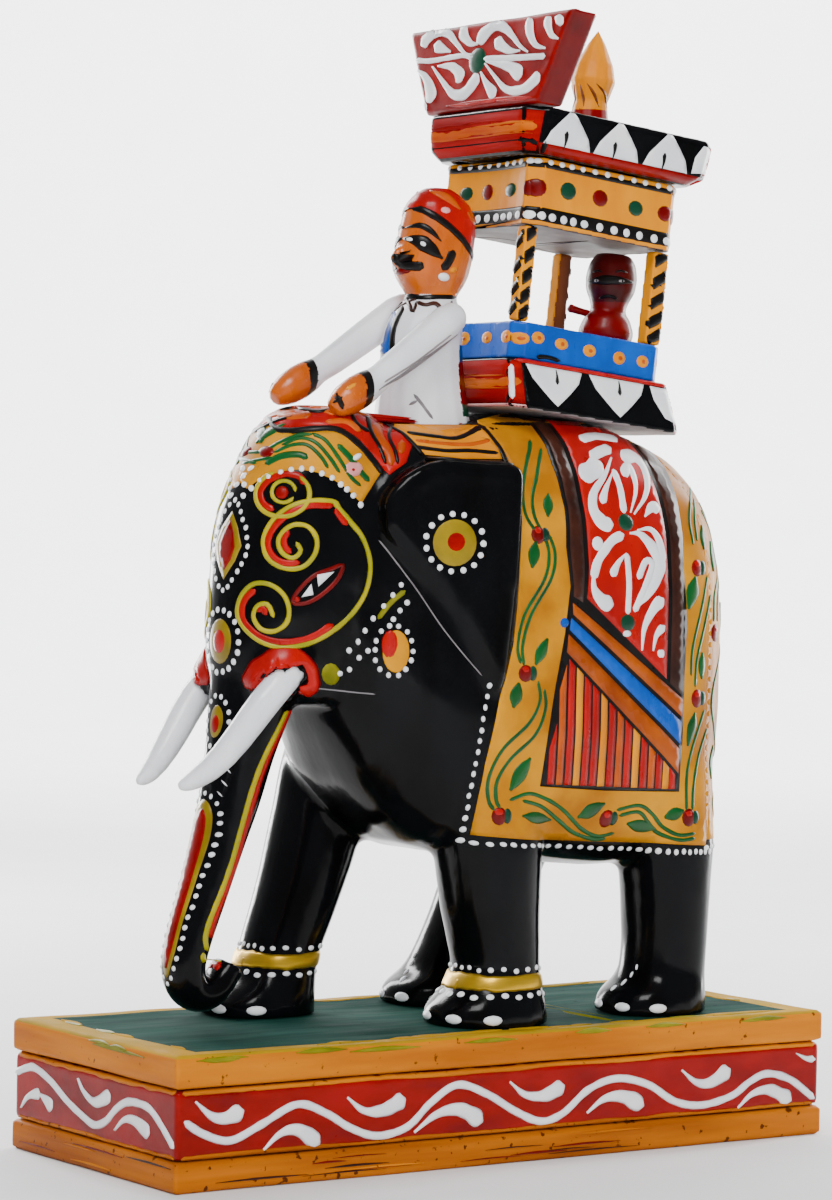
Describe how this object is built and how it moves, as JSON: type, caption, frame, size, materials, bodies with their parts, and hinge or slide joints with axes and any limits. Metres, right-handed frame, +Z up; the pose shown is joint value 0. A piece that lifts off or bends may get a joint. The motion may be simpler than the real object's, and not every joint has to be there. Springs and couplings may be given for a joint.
{
  "type": "painted wooden elephant figurine",
  "caption": "Carved and painted wooden elephant with a rider and a canopied howdah, walking on a rectangular plinth.",
  "frame": {"origin": "centre of the plinth's underside, which is also the bottom centre of the whole figure's box", "axes": "+Z up; -Y the way the elephant walks, so its head is at -Y; +X its left side"},
  "size_m": [0.08, 0.2, 0.2918],
  "materials": {
    "black_enamel": "hand-brushed black gloss enamel over carved wood",
    "white_paint": "hand-brushed white gloss paint on wood",
    "red_paint": "hand-brushed crimson gloss paint on wood",
    "dark_red_paint": "hand-brushed dark red paint on wood",
    "ochre_paint": "hand-brushed ochre gloss paint on wood",
    "teal_paint": "hand-brushed dark green paint on wood",
    "yellow_paint": "hand-brushed golden yellow gloss paint on wood",
    "blue_paint": "hand-brushed blue gloss paint on wood",
    "steel": "plain steel nail or screw",
    "bare_wood": "unpainted hardwood dowel"
  },
  "bodies": {
    "root": {"plinth_base": "ochre_paint", "plinth_block": "red_paint", "plinth_top": "teal_paint", "elephant_body": "black_enamel", "tusk_left": "white_paint", "tusk_right": "white_paint", "mahout_figure": "white_paint", "mahout_arm_left": "white_paint", "mahout_arm_right": "white_paint", "mahout_peg": "bare_wood", "howdah_floor": "black_enamel", "howdah_rail": "blue_paint", "howdah_post_front_left": "yellow_paint", "howdah_post_front_right": "yellow_paint", "howdah_post_rear_left": "yellow_paint", "howdah_post_rear_right": "yellow_paint", "howdah_frieze": "yellow_paint", "howdah_roof": "black_enamel", "howdah_visor": "dark_red_paint", "roof_finial": "yellow_paint", "passenger_figure": "dark_red_paint", "passenger_arm": "black_enamel", "howdah_nail_front": "steel", "howdah_nail_rear": "steel", "visor_nail_right": "steel", "visor_nail_left": "steel", "foot_screw_front_left": "steel", "foot_screw_front_right": "steel", "foot_screw_rear_left": "steel", "foot_screw_rear_right": "steel"}
  },
  "joints": []
}
